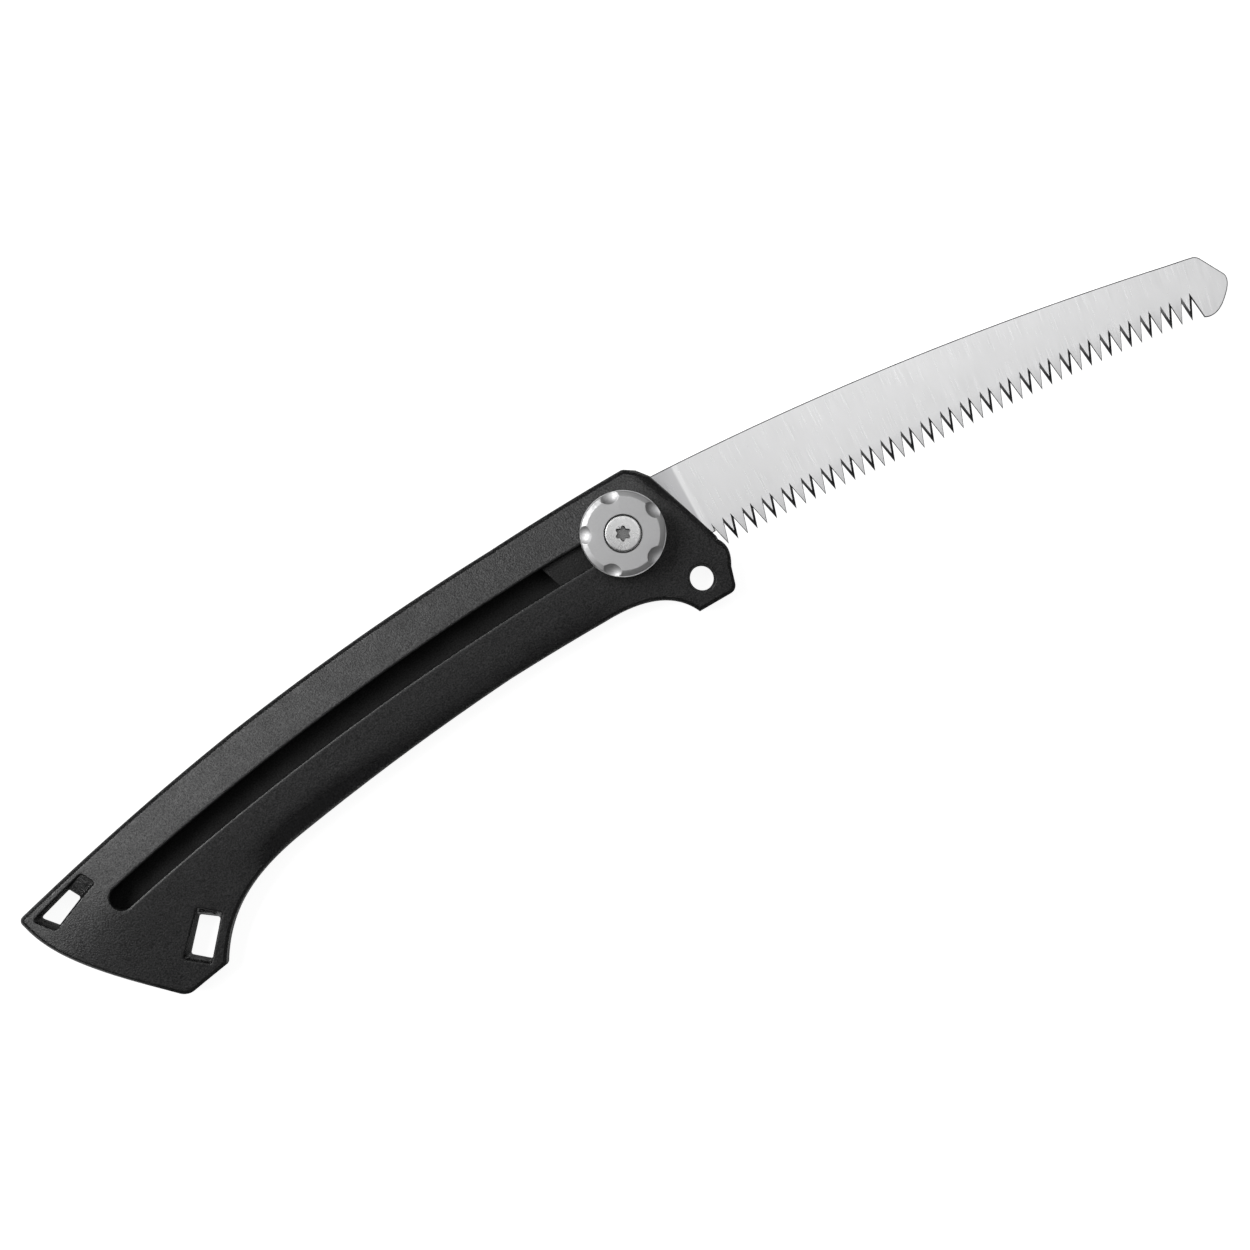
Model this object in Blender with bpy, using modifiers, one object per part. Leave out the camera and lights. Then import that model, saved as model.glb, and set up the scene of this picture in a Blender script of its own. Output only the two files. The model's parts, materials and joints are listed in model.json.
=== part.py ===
"""Pruning saw whose curved blade slides out of a two-shell handle and is clamped by a knob.

Frame: the saw lies on its far shell, knob up. The origin is on the knob's axis, in the plane
that the far shell rests on. +X runs along the slide, towards the blade's tip; +Y is the side
of the blade's back and the handle's spine; +Z is up, out of the near shell.

Everything follows one slide arc, so a place in plan is written (s, h): s is the distance along
the arc from the knob's axis, towards the tip, and h is the distance outwards from the arc,
towards the spine. Lengths in this file are millimetres, and MM turns them into metres.
"""
import math

import bmesh
import bpy
from mathutils import Matrix, Vector

MM = 0.001
WELD = 0.00001                 # metres
GAP = 0.3                      # between pieces that touch

# The slide
SLIDE_RADIUS = 833.0
ARC_STEP = 9.0                 # longest straight run on an edge that follows the arc

# Heights in the handle, from the face that it rests on
HANDLE_THICKNESS = 15.0
PARTING = HANDLE_THICKNESS / 2
WALL = 3.0                     # floor of the far shell, roof of the near shell
CHANNEL_BOTTOM = WALL
CHANNEL_TOP = HANDLE_THICKNESS - WALL
MOUTH_GAP = 3.0                # height of the slit that the blade leaves by
NEAR_CHAMFER = 1.2
FAR_CHAMFER = 0.5
OVERRUN = 1.0                  # how far a cutter runs past the face that it cuts
SLIVER = 0.01                  # and how far where two cutters meet

# Handle in plan
SPINE_REAR = (-124.4, 16.25)
GRIP_WAIST = (-50.0, -18.65)
GRIP_REAR = (-127.0, -19.4)
MOUTH_TOP = (14.9, 11.0)
MOUTH_FOOT = (23.6, -13.4)
GUARD_TIP = (8.6, -30.3)
POMMEL_TIP = (-169.2, -34.4)
BUTT_CORNER = (-205.1, 15.7)
LANYARD_CENTRE = (14.0, -22.1)
LANYARD_RADIUS = 3.6

# Slot and channel
SLOT_HALF_WIDTH = 3.5
SLOT_REAR = -178.6
CHANNEL_UPPER = 11.4
CHANNEL_LOWER = -17.4
CHANNEL_NECK = (-169.5, -183.8)  # where its upper side slopes down to the tail's width
TANG_STEP = (-191.6, -187.6)     # where its lower side steps down to the tang's width
TOOTH_STEP = (-161.0, -150.0)    # and from there to the teeth's
MOUTH_WALL = 4.6               # between the mouth's face and the channel
TAIL_UPPER = 3.8               # edges of the tang's tail, which the rear of the channel follows
TAIL_LOWER = -10.0
SLIDE_TRAVEL = 173.0
SIDE_CLEARANCE = 0.6           # beside the tail at the back end of its travel
END_CLEARANCE = 0.8            # behind it

# Blade
BLADE_THICKNESS = 1.2
BLADE_BOTTOM = PARTING - BLADE_THICKNESS / 2
BLADE_TOP = PARTING + BLADE_THICKNESS / 2
BACK_AT_MOUTH = 10.9
BACK_AT_TIP = 7.9
TIP_CORNER = (190.3, 0.8)
BACK_START = 16.0
BACK_END = 176.0
BACK_POWER = 1.7
TOOTH_COUNT = 48
FIRST_TOOTH = 25.9
LAST_TOOTH = 177.6
TOOTH_DEPTH = 6.0
TOOTH_LINE = -17.1
TOOTH_LINE_RISE = 7.5          # how much nearer the back the last tooth is
RISE_START = 85.0
RISE_POWER = 1.25
TANG_LOWER = -12.0
TAIL_END_UPPER = -25.3
TAIL_END_LOWER = -21.2
SHOE_GAP = 0.3
SHOE_UPPER = 9.8
SHOE_FRONT = 8.2               # between the mouth's face and the shoe's front end

# Knob, screw and bush, all on the knob's axis
BUSH_RADIUS = 5.0
BUSH_FLANGE_RADIUS = 6.5
BUSH_BOTTOM = 4.9
BUSH_TOP = CHANNEL_TOP - 0.6
SCREW_RADIUS = 3.0
THREAD_CLEARANCE = 0.1
SCREW_END = 5.2
SCREW_HEAD_RADIUS = 5.35
SCREW_HEAD_TOP = 24.2
SCREW_HEAD_BOTTOM = 21.8
RECESS_RADIUS = 2.1
RECESS_LOBE = 0.35
RECESS_DEPTH = 1.7
HEAD_SEAT_RADIUS = 6.1
WASHER_RADIUS = 10.5
WASHER_THICKNESS = 0.9
WASHER_BOTTOM = HANDLE_THICKNESS + GAP
WAVE_RADIUS = 6.0
WAVE_THICKNESS = 0.6
KNOB_RADIUS = 12.4
KNOB_BOTTOM = WASHER_BOTTOM + WASHER_THICKNESS + GAP
KNOB_TOP = 24.0
KNOB_EDGE = 1.8                 # width of the sloping rim
KNOB_DROP = 0.35                # and how far it falls before its rounded corner
KNOB_CORNER = 0.6
SCALLOP_COUNT = 5
SCALLOP_RADIUS = 7.0
SCALLOP_REACH = 12.2           # from the knob's axis to a scallop's centre
SCALLOP_LIFT = 6.2             # of that centre above the knob's face
SCALLOP_TURN = math.radians(8.7)

# Shoe rivets and shell screws
RIVET_PLACES = {"rear": (-17.0, -6.3), "front": (9.0, -6.3)}
RIVET_RADIUS = 1.2
RIVET_HEAD_RADIUS = 2.2
SCREW_PLACES = [(20.5, -20.1), (7.2, -23.2), (-2.5, 13.6), (-62.0, 13.5),
                (-120.0, 13.6), (-177.5, 12.0), (-188.0, -16.5), (-155.5, -20.3)]
SHELL_SCREW_RADIUS = 1.1
SHELL_HEAD_RADIUS = 1.7
SHELL_HEAD_BOTTOM = 0.4
SHELL_HEAD_HEIGHT = 1.5
SHELL_SCREW_END = CHANNEL_TOP
ROUND_STEPS = 20
KNOB_STEPS = 56


# ---------------------------------------------------------------- plan geometry

def slide_xy(s, h):
    """Plan position, in metres, of the point (s, h) on the slide arc."""
    angle = s / SLIDE_RADIUS
    reach = SLIDE_RADIUS + h
    return reach * math.sin(angle) * MM, (reach * math.cos(angle) - SLIDE_RADIUS) * MM


def bezier(start, pull_start, pull_end, end, steps):
    """Points of a cubic curve, without its first point."""
    points = []
    for i in range(1, steps + 1):
        t = i / steps
        weights = ((1 - t) ** 3, 3 * t * (1 - t) ** 2, 3 * t * t * (1 - t), t ** 3)
        corners = (start, pull_start, pull_end, end)
        points.append(tuple(sum(w * c[axis] for w, c in zip(weights, corners)) for axis in (0, 1)))
    return points


def arc_run(start, end):
    """Points from start to end that follow the slide arc, without the first."""
    steps = max(1, math.ceil(abs(end[0] - start[0]) / ARC_STEP))
    return [tuple(a + (b - a) * i / steps for a, b in zip(start, end)) for i in range(1, steps + 1)]


def rounded(corner, before, after, radius, steps=3):
    """Points of the fillet at a corner between the points before and after it."""
    corner, before, after = Vector(corner), Vector(before), Vector(after)
    back = (before - corner).normalized()
    ahead = (after - corner).normalized()
    half = back.angle(ahead) / 2
    reach = radius / math.tan(half)
    centre = corner + (back + ahead).normalized() * radius / math.sin(half)
    start = corner + back * reach - centre
    sweep = start.angle_signed(corner + ahead * reach - centre)
    points = []
    for i in range(steps + 1):
        turn = Matrix.Rotation(-sweep * i / steps, 2)
        points.append(tuple(centre + turn @ start))
    return points


def circle(centre, radius, steps=ROUND_STEPS):
    """Points of a circle in plan."""
    turns = [2 * math.pi * i / steps for i in range(steps)]
    return [(centre[0] + radius * math.cos(a), centre[1] + radius * math.sin(a)) for a in turns]


def handle_outline():
    """Outer edge of both shells, from the butt along the spine and back along the grip."""
    spine = [(-202.0, 15.65), SPINE_REAR, (-75.7, 16.1), (-35.0, 15.85)]
    hump_foot = (12.2, 14.4)
    hump = rounded((8.9, 16.55), spine[-1], hump_foot, 2.2, 4) + [hump_foot]
    nose = bezier((23.6, -14.4), (25.5, -17.0), (25.3, -19.6), (23.3, -23.2), 6)
    front_foot = rounded((21.4, -30.0), nose[-1], GUARD_TIP, 2.8)
    finger = bezier(GUARD_TIP, (5.0, -22.6), (-3.5, -19.0), (-17.0, -19.2), 10)
    grip = arc_run(finger[-1], GRIP_WAIST) + arc_run(GRIP_WAIST, GRIP_REAR)
    sweep = bezier(GRIP_REAR, (-143.5, -19.6), (-157.5, -22.2), POMMEL_TIP, 10)
    pommel = rounded((-184.2, -33.75), POMMEL_TIP, (-187.6, -28.2), 4.6)
    butt = bezier(pommel[-1], (-194.0, -18.4), (-204.9, -1.8), (-205.0, 12.6), 8)
    corner = rounded(BUTT_CORNER, butt[-1], spine[0], 1.6)
    return (spine + hump + [MOUTH_TOP, MOUTH_FOOT, (23.6, -14.4)] + nose + front_foot
            + [GUARD_TIP] + finger + grip + sweep + pommel + butt + corner[:-1])


def mouth_line(h, inside=0.0):
    """s of the mouth's slanted edge at h, moved the given distance into the handle."""
    run = (MOUTH_FOOT[0] - MOUTH_TOP[0]) / (MOUTH_TOP[1] - MOUTH_FOOT[1])
    return MOUTH_TOP[0] + (MOUTH_TOP[1] - h) * run - inside * math.hypot(1, run)


def channel_outline():
    """Room that the blade, tang and shoes sweep inside the handle, behind its mouth wall."""
    upper_front = (mouth_line(CHANNEL_UPPER, MOUTH_WALL), CHANNEL_UPPER)
    lower_front = (mouth_line(CHANNEL_LOWER, MOUTH_WALL), CHANNEL_LOWER)
    upper_rear = (CHANNEL_NECK[0], CHANNEL_UPPER)
    lower_rear = (TOOTH_STEP[1], CHANNEL_LOWER)
    tail_top = TAIL_UPPER + SIDE_CLEARANCE
    tail_foot = TAIL_LOWER - SIDE_CLEARANCE
    tang_foot = TANG_LOWER - SIDE_CLEARANCE
    rearmost = SLIDE_TRAVEL + END_CLEARANCE
    return ([upper_front] + arc_run(upper_front, upper_rear)
            + [(CHANNEL_NECK[1], tail_top), (TAIL_END_UPPER - rearmost, tail_top),
               (TAIL_END_LOWER - rearmost, tail_foot), (TANG_STEP[0], tail_foot),
               (TANG_STEP[1], tang_foot), (TOOTH_STEP[0], tang_foot), lower_rear]
            + arc_run(lower_rear, lower_front))


def mouth_outline():
    """Slit through the mouth wall, as tall in plan as the blade."""
    inner, outer = MOUTH_WALL + GAP, -4 * OVERRUN
    ends = [(CHANNEL_UPPER, inner), (CHANNEL_LOWER, inner), (CHANNEL_LOWER, outer), (CHANNEL_UPPER, outer)]
    return [(mouth_line(h, depth), h) for h, depth in ends]


def slot_outline():
    """Long curved slot that the knob's screw slides in, with round ends."""
    front = [(SLOT_HALF_WIDTH * math.sin(a), SLOT_HALF_WIDTH * math.cos(a))
             for a in (math.pi * i / 8 for i in range(9))]
    rear = [(SLOT_REAR - s, -h) for s, h in front]
    return (front + arc_run(front[-1], rear[0])[:-1] + rear + arc_run(rear[-1], front[0])[:-1])


def back_edge(s):
    """h of the blade's back."""
    share = max(0.0, (BACK_END - max(s, BACK_START)) / (BACK_END - BACK_START))
    return BACK_AT_TIP + (BACK_AT_MOUTH - BACK_AT_TIP) * share ** BACK_POWER


def tooth_line(s):
    """h of the tooth points."""
    share = max(0.0, (s - RISE_START) / (LAST_TOOTH - RISE_START))
    return TOOTH_LINE + TOOTH_LINE_RISE * share ** RISE_POWER


def blade_outline():
    """Blade and tang, clockwise from the tail's upper corner."""
    tang_top = [(TAIL_END_UPPER, TAIL_UPPER), (-8.5, TAIL_UPPER), (5.0, BACK_AT_MOUTH)]
    back = [(s, back_edge(s)) for s, _ in arc_run((BACK_START - 5.0, 0), (BACK_END, 0))]
    tip = ([(180.4, 8.0)] + rounded((184.0, 8.0), (180.4, 8.0), TIP_CORNER, 3.0, 4) + [TIP_CORNER]
           + bezier(TIP_CORNER, (191.7, -1.2), (190.0, -4.2), (187.4, -7.4), 5)
           + bezier((187.4, -7.4), (185.6, -9.4), (183.4, -10.4), (181.2, -9.7), 3))
    pitch = (LAST_TOOTH - FIRST_TOOTH) / (TOOTH_COUNT - 1)
    teeth = []
    for i in reversed(range(TOOTH_COUNT)):
        s = FIRST_TOOTH + pitch * i
        teeth.append((s + pitch / 2, tooth_line(s + pitch / 2) + TOOTH_DEPTH))
        teeth.append((s, tooth_line(s)))
    teeth.append((FIRST_TOOTH - pitch / 2, TANG_LOWER))
    tang_foot = arc_run(teeth[-1], (-14.0, TANG_LOWER)) + [(-18.0, TAIL_LOWER), (TAIL_END_LOWER, TAIL_LOWER)]
    return tang_top + back + tip + teeth + tang_foot


def shoe_outline():
    """Slide shoe: the tang's tail, widened round the bush, with a front end like the mouth."""
    return [(TAIL_END_UPPER, TAIL_UPPER), (-8.2, TAIL_UPPER), (2.6, SHOE_UPPER),
            (mouth_line(SHOE_UPPER, SHOE_FRONT), SHOE_UPPER),
            (mouth_line(TAIL_LOWER, SHOE_FRONT), TAIL_LOWER), (TAIL_END_LOWER, TAIL_LOWER)]


STRAP_SLOTS = {
    # wide: at the shells' outer faces, shoulder: at STRAP_SHOULDER below them, narrow: at the parting plane
    "upper": {"wide": [(-201.9, 12.5), (-182.9, 13.2), (-181.6, 8.7), (-198.8, 6.1)],
              "shoulder": [(-201.8, 12.3), (-188.7, 12.7), (-187.4, 7.95), (-198.8, 6.1)],
              "narrow": [(-201.7, 12.1), (-188.9, 12.6), (-187.6, 8.0), (-198.7, 6.2)]},
    "lower": {"wide": [(-177.7, -25.0), (-164.4, -16.5), (-159.7, -22.3), (-172.4, -31.4)],
              "shoulder": [(-176.9, -25.0), (-165.3, -17.4), (-160.6, -22.6), (-171.9, -30.9)],
              "narrow": [(-175.6, -25.2), (-165.8, -18.3), (-161.6, -22.8), (-171.5, -30.4)]},
}
STRAP_SHOULDER = 2.4


# ---------------------------------------------------------------- Blender helpers

def clear_scene():
    for item in list(bpy.data.objects):
        bpy.data.objects.remove(item, do_unlink=True)


def collection(name):
    group = bpy.data.collections.new(name)
    bpy.context.scene.collection.children.link(group)
    return group


def finish(colour, roughness, metallic, name):
    """Principled material."""
    material = bpy.data.materials.new(name)
    material.use_nodes = True
    shader = material.node_tree.nodes["Principled BSDF"]
    shader.inputs["Base Color"].default_value = (*colour, 1.0)
    shader.inputs["Roughness"].default_value = roughness
    shader.inputs["Metallic"].default_value = metallic
    return material


def prism(name, outline, bottom, top, group):
    """Upright solid on a closed (s, h) outline, from a filled and extruded 2D curve."""
    curve = bpy.data.curves.new(name, 'CURVE')
    curve.dimensions = '2D'
    curve.fill_mode = 'BOTH'
    curve.extrude = (top - bottom) / 2 * MM
    spline = curve.splines.new('POLY')
    spline.points.add(len(outline) - 1)
    for point, (s, h) in zip(spline.points, outline):
        point.co = (*slide_xy(s, h), 0, 1)
    spline.use_cyclic_u = True
    guide = bpy.data.objects.new(name + "_outline", curve)
    guide.location.z = (top + bottom) / 2 * MM
    group.objects.link(guide)
    bpy.context.view_layer.update()
    ready = guide.evaluated_get(bpy.context.evaluated_depsgraph_get())
    solid = bpy.data.objects.new(name, bpy.data.meshes.new_from_object(ready))
    solid.matrix_world = guide.matrix_world.copy()
    group.objects.link(solid)
    bpy.data.objects.remove(guide, do_unlink=True)
    weld(solid.data)
    return solid


def weld(mesh):
    """Join a curve's loose caps to its walls, and make each cap one face."""
    bm = bmesh.new()
    bm.from_mesh(mesh)
    bmesh.ops.remove_doubles(bm, verts=bm.verts, dist=WELD)
    flat = [e for e in bm.edges
            if len(e.link_faces) == 2 and all(abs(f.normal.z) > 0.99 for f in e.link_faces)]
    bmesh.ops.dissolve_edges(bm, edges=flat, use_verts=False)
    bmesh.ops.recalc_face_normals(bm, faces=bm.faces)
    bm.to_mesh(mesh)
    bm.free()


def turned(name, profile, centre, steps, group, closed=False):
    """Solid turned about an upright axis; profile is (radius, height) from top to bottom."""
    mesh = bpy.data.meshes.new(name)
    edges = [(i, i + 1) for i in range(len(profile) - 1)]
    if closed:
        edges.append((len(profile) - 1, 0))
    mesh.from_pydata([(r * MM, 0, z * MM) for r, z in profile], edges, [])
    solid = bpy.data.objects.new(name, mesh)
    solid.location = (*slide_xy(*centre), 0)
    group.objects.link(solid)
    lathe = solid.modifiers.new("Turn", 'SCREW')
    lathe.steps = steps
    lathe.render_steps = steps
    lathe.use_merge_vertices = True
    lathe.merge_threshold = WELD
    lathe.use_smooth_shade = True
    return solid


def ring_profile(inner, outer, bottom, top):
    """Section of a plain ring, running down its outer side."""
    return [(inner, top), (outer, top), (outer, bottom), (inner, bottom)]


def loft(name, lower, upper, bottom, top, group):
    """Convex solid between two different four-sided outlines."""
    bm = bmesh.new()
    for outline, z in ((lower, bottom), (upper, top)):
        for s, h in outline:
            bm.verts.new((*slide_xy(s, h), z * MM))
    bmesh.ops.convex_hull(bm, input=bm.verts)
    bmesh.ops.recalc_face_normals(bm, faces=bm.faces)
    mesh = bpy.data.meshes.new(name)
    bm.to_mesh(mesh)
    bm.free()
    solid = bpy.data.objects.new(name, mesh)
    group.objects.link(solid)
    return solid


def chamfer_rim(solid, height, width):
    """Chamfer the edge round a solid's flat face at the given height."""
    bm = bmesh.new()
    bm.from_mesh(solid.data)
    weight = bm.edges.layers.float.new("bevel_weight_edge")
    level = height * MM - solid.location.z
    for edge in bm.edges:
        if all(abs(v.co.z - level) < WELD for v in edge.verts):
            edge[weight] = 1.0
    bm.to_mesh(solid.data)
    bm.free()
    bevel = solid.modifiers.new("Rim", 'BEVEL')
    bevel.limit_method = 'WEIGHT'
    bevel.width = width * MM
    bevel.segments = 1
    bevel.use_clamp_overlap = False


def cut(solid, cutter):
    """Take a cutter away from a solid."""
    cutter.hide_render = True
    cutter.display_type = 'WIRE'
    boolean = solid.modifiers.new(cutter.name, 'BOOLEAN')
    boolean.operation = 'DIFFERENCE'
    boolean.solver = 'EXACT'
    boolean.object = cutter


def pivot(name, xy, group):
    """Empty on an upright joint axis, to carry the pieces that move about it."""
    empty = bpy.data.objects.new(name, None)
    empty.location = (*xy, 0)
    empty.empty_display_size = 10 * MM
    group.objects.link(empty)
    bpy.context.view_layer.update()
    return empty


def carry(parent, pieces):
    """Parent pieces to a pivot without moving them."""
    bpy.context.view_layer.update()
    for piece in pieces:
        place = piece.matrix_world.copy()
        piece.parent = parent
        piece.matrix_parent_inverse = parent.matrix_world.inverted()
        piece.matrix_world = place


# ---------------------------------------------------------------- pieces

def shell(name, bottom, top, outer, chamfer, parts, cutters):
    """One handle half, with its share of the channel, the mouth slit and the through holes."""
    body = prism(name, handle_outline(), bottom, top, parts)
    chamfer_rim(body, outer, chamfer)
    low, high = bottom - OVERRUN, top + OVERRUN
    cut(body, prism(name + "_channel", channel_outline(), CHANNEL_BOTTOM, CHANNEL_TOP, cutters))
    slit = (PARTING - MOUTH_GAP / 2, PARTING + MOUTH_GAP / 2)
    cut(body, prism(name + "_mouth", mouth_outline(), *slit, cutters))
    cut(body, prism(name + "_lanyard_hole", circle(LANYARD_CENTRE, LANYARD_RADIUS), low, high, cutters))
    for side, plan in STRAP_SLOTS.items():
        wide, shoulder, narrow = plan["wide"], plan["shoulder"], plan["narrow"]
        if outer == top:
            step = top - STRAP_SHOULDER
            ramp = (shoulder, wide, step - SLIVER, top + SLIVER)
            throat = (narrow, shoulder, bottom - SLIVER, step)
        else:
            step = bottom + STRAP_SHOULDER
            ramp = (wide, shoulder, bottom - SLIVER, step + SLIVER)
            throat = (shoulder, narrow, step, top + SLIVER)
        cut(body, loft(f"{name}_{side}_strap_ramp", *ramp, cutters))
        cut(body, loft(f"{name}_{side}_strap_throat", *throat, cutters))
    return body


def near_shell(parts, cutters):
    body = shell("near_shell", PARTING + GAP / 2, HANDLE_THICKNESS, HANDLE_THICKNESS, NEAR_CHAMFER,
                 parts, cutters)
    cut(body, prism("knob_slot", slot_outline(), CHANNEL_TOP - OVERRUN, HANDLE_THICKNESS + OVERRUN, cutters))
    for i, place in enumerate(SCREW_PLACES, 1):
        pilot = circle(place, SHELL_SCREW_RADIUS + GAP, 12)
        cut(body, prism(f"near_pilot_{i}", pilot, 0, SHELL_SCREW_END + GAP, cutters))
    return body


def far_shell(parts, cutters):
    body = shell("far_shell", 0, PARTING - GAP / 2, 0, FAR_CHAMFER, parts, cutters)
    head_room = SHELL_HEAD_BOTTOM + SHELL_HEAD_HEIGHT + GAP
    for i, place in enumerate(SCREW_PLACES, 1):
        wide, narrow = SHELL_HEAD_RADIUS + GAP, SHELL_SCREW_RADIUS + GAP
        step = [(0, HANDLE_THICKNESS), (narrow, HANDLE_THICKNESS), (narrow, head_room - GAP + 0.01),
                (wide, head_room - GAP), (wide, -OVERRUN), (0, -OVERRUN)]
        cut(body, turned(f"far_hole_{i}", step, place, 16, cutters))
    return body


def saw_blade(parts, cutters):
    blade = prism("saw_blade", blade_outline(), BLADE_BOTTOM, BLADE_TOP, parts)
    low, high = BLADE_BOTTOM - OVERRUN, BLADE_TOP + OVERRUN
    cut(blade, prism("blade_bush_hole", circle((0, 0), BUSH_RADIUS + GAP), low, high, cutters))
    for side, place in RIVET_PLACES.items():
        hole = circle(place, RIVET_RADIUS + GAP, 12)
        cut(blade, prism(f"blade_{side}_rivet_hole", hole, low, high, cutters))
    return blade


def slide_shoe(name, bottom, top, bush_room, head_level, parts, cutters):
    """Moulded block on one side of the tang, with sunk seats for the rivet heads."""
    shoe = prism(name, shoe_outline(), bottom, top, parts)
    low, high = bottom - OVERRUN, top + OVERRUN
    cut(shoe, prism(name + "_bush_hole", circle((0, 0), bush_room), low, high, cutters))
    for side, place in RIVET_PLACES.items():
        hole = circle(place, RIVET_RADIUS + GAP, 12)
        cut(shoe, prism(f"{name}_{side}_rivet_hole", hole, low, high, cutters))
        seat = circle(place, RIVET_HEAD_RADIUS + GAP, 16)
        span = (head_level, high) if head_level > PARTING else (low, head_level)
        cut(shoe, prism(f"{name}_{side}_rivet_seat", seat, *span, cutters))
    return shoe


def shoe_rivet(side, place, far_seat, near_seat, parts):
    """Rivet with a flat head in each shoe."""
    head = 1.0
    low, high = far_seat - GAP, near_seat + GAP
    profile = [(0, high + head), (RIVET_HEAD_RADIUS, high + head), (RIVET_HEAD_RADIUS, high),
               (RIVET_RADIUS, high), (RIVET_RADIUS, low), (RIVET_HEAD_RADIUS, low),
               (RIVET_HEAD_RADIUS, low - head), (0, low - head)]
    return turned(f"shoe_rivet_{side}", profile, place, ROUND_STEPS, parts)


def threaded_bush(parts):
    bore = SCREW_RADIUS + THREAD_CLEARANCE
    flange_top = BLADE_BOTTOM - GAP
    profile = [(bore, BUSH_TOP), (BUSH_RADIUS, BUSH_TOP), (BUSH_RADIUS, flange_top),
               (BUSH_FLANGE_RADIUS, flange_top), (BUSH_FLANGE_RADIUS, BUSH_BOTTOM), (bore, BUSH_BOTTOM)]
    return turned("threaded_bush", profile, (0, 0), 32, parts, closed=True)


def lock_knob(parts, cutters):
    """Ring knob with a rounded rim, a seat for the screw head and scallops round its top edge."""
    head_seat = SCREW_HEAD_BOTTOM - GAP
    wave_room = KNOB_BOTTOM + WAVE_THICKNESS + GAP
    profile = [(HEAD_SEAT_RADIUS, KNOB_TOP), (KNOB_RADIUS - KNOB_EDGE, KNOB_TOP),
               (KNOB_RADIUS - KNOB_CORNER, KNOB_TOP - KNOB_DROP),
               (KNOB_RADIUS, KNOB_TOP - KNOB_DROP - KNOB_CORNER),
               (KNOB_RADIUS, KNOB_BOTTOM + 1.0), (KNOB_RADIUS - 1.0, KNOB_BOTTOM),
               (WAVE_RADIUS + GAP, KNOB_BOTTOM), (WAVE_RADIUS + GAP, wave_room),
               (SCREW_RADIUS + GAP, wave_room), (SCREW_RADIUS + GAP, head_seat),
               (HEAD_SEAT_RADIUS, head_seat)]
    knob = turned("lock_knob", profile, (0, 0), KNOB_STEPS, parts, closed=True)
    for i in range(SCALLOP_COUNT):
        turn = SCALLOP_TURN + 2 * math.pi * i / SCALLOP_COUNT
        place = (SCALLOP_REACH * math.cos(turn) * MM, SCALLOP_REACH * math.sin(turn) * MM,
                 (KNOB_TOP + SCALLOP_LIFT) * MM)
        bpy.ops.mesh.primitive_uv_sphere_add(segments=32, ring_count=20, radius=SCALLOP_RADIUS * MM,
                                             location=place)
        ball = bpy.context.active_object
        ball.name = f"scallop_{i + 1}"
        for group in ball.users_collection:
            group.objects.unlink(ball)
        cutters.objects.link(ball)
        cut(knob, ball)
    return knob


def clamp_screw(parts, cutters):
    """Pan-head screw with a plain six-lobe recess."""
    profile = [(0, SCREW_HEAD_TOP), (SCREW_HEAD_RADIUS - 0.6, SCREW_HEAD_TOP),
               (SCREW_HEAD_RADIUS, SCREW_HEAD_TOP - 0.4), (SCREW_HEAD_RADIUS, SCREW_HEAD_BOTTOM),
               (SCREW_RADIUS, SCREW_HEAD_BOTTOM), (SCREW_RADIUS, SCREW_END + 0.6),
               (SCREW_RADIUS - 0.6, SCREW_END), (0, SCREW_END)]
    screw = turned("clamp_screw", profile, (0, 0), 32, parts)
    turns = [2 * math.pi * i / 36 for i in range(36)]
    lobes = [(r * math.cos(a), r * math.sin(a)) for a in turns
             for r in [RECESS_RADIUS - RECESS_LOBE + RECESS_LOBE * math.cos(6 * a)]]
    bottom = SCREW_HEAD_TOP - RECESS_DEPTH
    cut(screw, prism("screw_recess", lobes, bottom, SCREW_HEAD_TOP + OVERRUN, cutters))
    return screw


def shell_screw(number, place, parts):
    head_top = SHELL_HEAD_BOTTOM + SHELL_HEAD_HEIGHT
    profile = [(0, SHELL_SCREW_END), (SHELL_SCREW_RADIUS * 0.4, SHELL_SCREW_END),
               (SHELL_SCREW_RADIUS, SHELL_SCREW_END - 1.4), (SHELL_SCREW_RADIUS, head_top - 0.3),
               (SHELL_HEAD_RADIUS, head_top - 0.3), (SHELL_HEAD_RADIUS, SHELL_HEAD_BOTTOM),
               (0, SHELL_HEAD_BOTTOM)]
    return turned(f"shell_screw_{number}", profile, place, 12, parts)


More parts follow.
